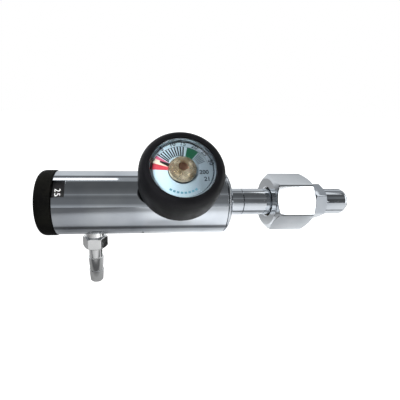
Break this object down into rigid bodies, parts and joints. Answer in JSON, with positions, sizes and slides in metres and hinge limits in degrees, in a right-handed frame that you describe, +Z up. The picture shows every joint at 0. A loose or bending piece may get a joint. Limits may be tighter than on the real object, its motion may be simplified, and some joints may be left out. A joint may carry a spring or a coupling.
{
  "type": "gas regulator",
  "caption": "Chromed piston gas regulator with click-style flow knob, contents gauge in a rubber boot, loose hex inlet nut and barbed hose outlet.",
  "frame": {"origin": "tip of the inlet nose, on the barrel axis, which is the end that goes into the cylinder valve", "axes": "+X runs along the barrel axis out of the inlet nose; -X is the flow knob, -Y is the side with the gauge and the number window, +Z is up and the hose outlet points down"},
  "size_m": [0.1891, 0.0666, 0.0964],
  "materials": {
    "chrome_plate": "polished chrome plate on brass",
    "turned_brass": "as turned",
    "polished_brass": "polished dome with fine scratches",
    "bronze": "sintered or drawn bronze",
    "steel": "bright steel",
    "seal_rubber": "smooth moulded seal",
    "grip_rubber": "matte moulded rubber",
    "boot_rubber": "satin moulded rubber",
    "black_plastic": "moulded",
    "seat_plastic": "turned seal plastic",
    "dial_face": "printed white dial with coloured zones",
    "clear_lens": "clear domed lens"
  },
  "bodies": {
    "body": {"body_shell": "chrome_plate", "inlet_bonnet": "chrome_plate", "inlet_nipple": "chrome_plate", "outlet_barb": "chrome_plate", "gauge_bezel": "chrome_plate", "inlet_nozzle": "turned_brass", "flow_core": "turned_brass", "relief_plug": "turned_brass", "gauge_socket": "turned_brass", "inlet_filter": "bronze", "bourdon_spiral": "bronze", "main_spring": "steel", "relief_spring": "steel", "detent_spring_1": "steel", "detent_spring_2": "steel", "detent_ball_1": "steel", "detent_ball_2": "steel", "stop_pin": "steel", "gauge_case": "steel", "bonnet_o_ring": "seal_rubber", "nose_o_ring": "seal_rubber", "piston_stem_o_ring": "seal_rubber", "core_o_ring": "seal_rubber", "shaft_o_ring": "seal_rubber", "outlet_o_ring": "seal_rubber", "gauge_boot": "boot_rubber", "nipple_seal": "seat_plastic", "port_seal": "seat_plastic", "gauge_gasket": "seat_plastic", "gauge_dial": "dial_face", "gauge_lens": "clear_lens"},
    "selector": {"selector_knob": "black_plastic", "knob_grip": "grip_rubber", "knob_end_cap": "black_plastic", "knob_screw": "steel", "number_ring": "black_plastic", "selector_shaft": "steel", "orifice_disc": "steel", "shaft_clip": "steel"},
    "piston": {"piston": "turned_brass", "seat_insert": "seat_plastic", "piston_head_o_ring": "seal_rubber"},
    "relief_poppet": {"relief_poppet": "turned_brass", "relief_seal": "seat_plastic"},
    "washer": {"thrust_washer": "turned_brass"},
    "nut": {"inlet_nut": "chrome_plate"},
    "pointer": {"gauge_pointer": "black_plastic", "pointer_arbor": "steel", "hub_screw": "polished_brass"}
  },
  "joints": [
    {"name": "flow_select", "type": "hinge", "parent": "body", "child": "selector", "pos_m": [-0.18, 0, 0], "axis": [1, 0, 0], "range_deg": [0, 330]},
    {"name": "nut_travel", "type": "slide", "parent": "body", "child": "washer", "axis": [1, 0, 0], "range_m": [-0.0255, 0.0188]},
    {"name": "nut_spin", "type": "hinge", "parent": "washer", "child": "nut", "pos_m": [-0.0388, 0, 0], "axis": [1, 0, 0], "continuous": true},
    {"name": "gauge_needle", "type": "hinge", "parent": "body", "child": "pointer", "pos_m": [-0.1104, -0.03154, 0.02619], "axis": [0, 0.7694, -0.6388], "range_deg": [0, 190], "stiffness_Nm_per_rad": 0.0005},
    {"name": "piston_travel", "type": "slide", "parent": "body", "child": "piston", "axis": [1, 0, 0], "range_m": [0, 0.001], "stiffness_N_per_m": 2000, "springref_m": -0.004, "deforming": ["main_spring"]},
    {"name": "relief_lift", "type": "slide", "parent": "body", "child": "relief_poppet", "axis": [0, 1, 0], "range_m": [0, 0.001], "stiffness_N_per_m": 500, "springref_m": -0.002, "deforming": ["relief_spring"]}
  ]
}
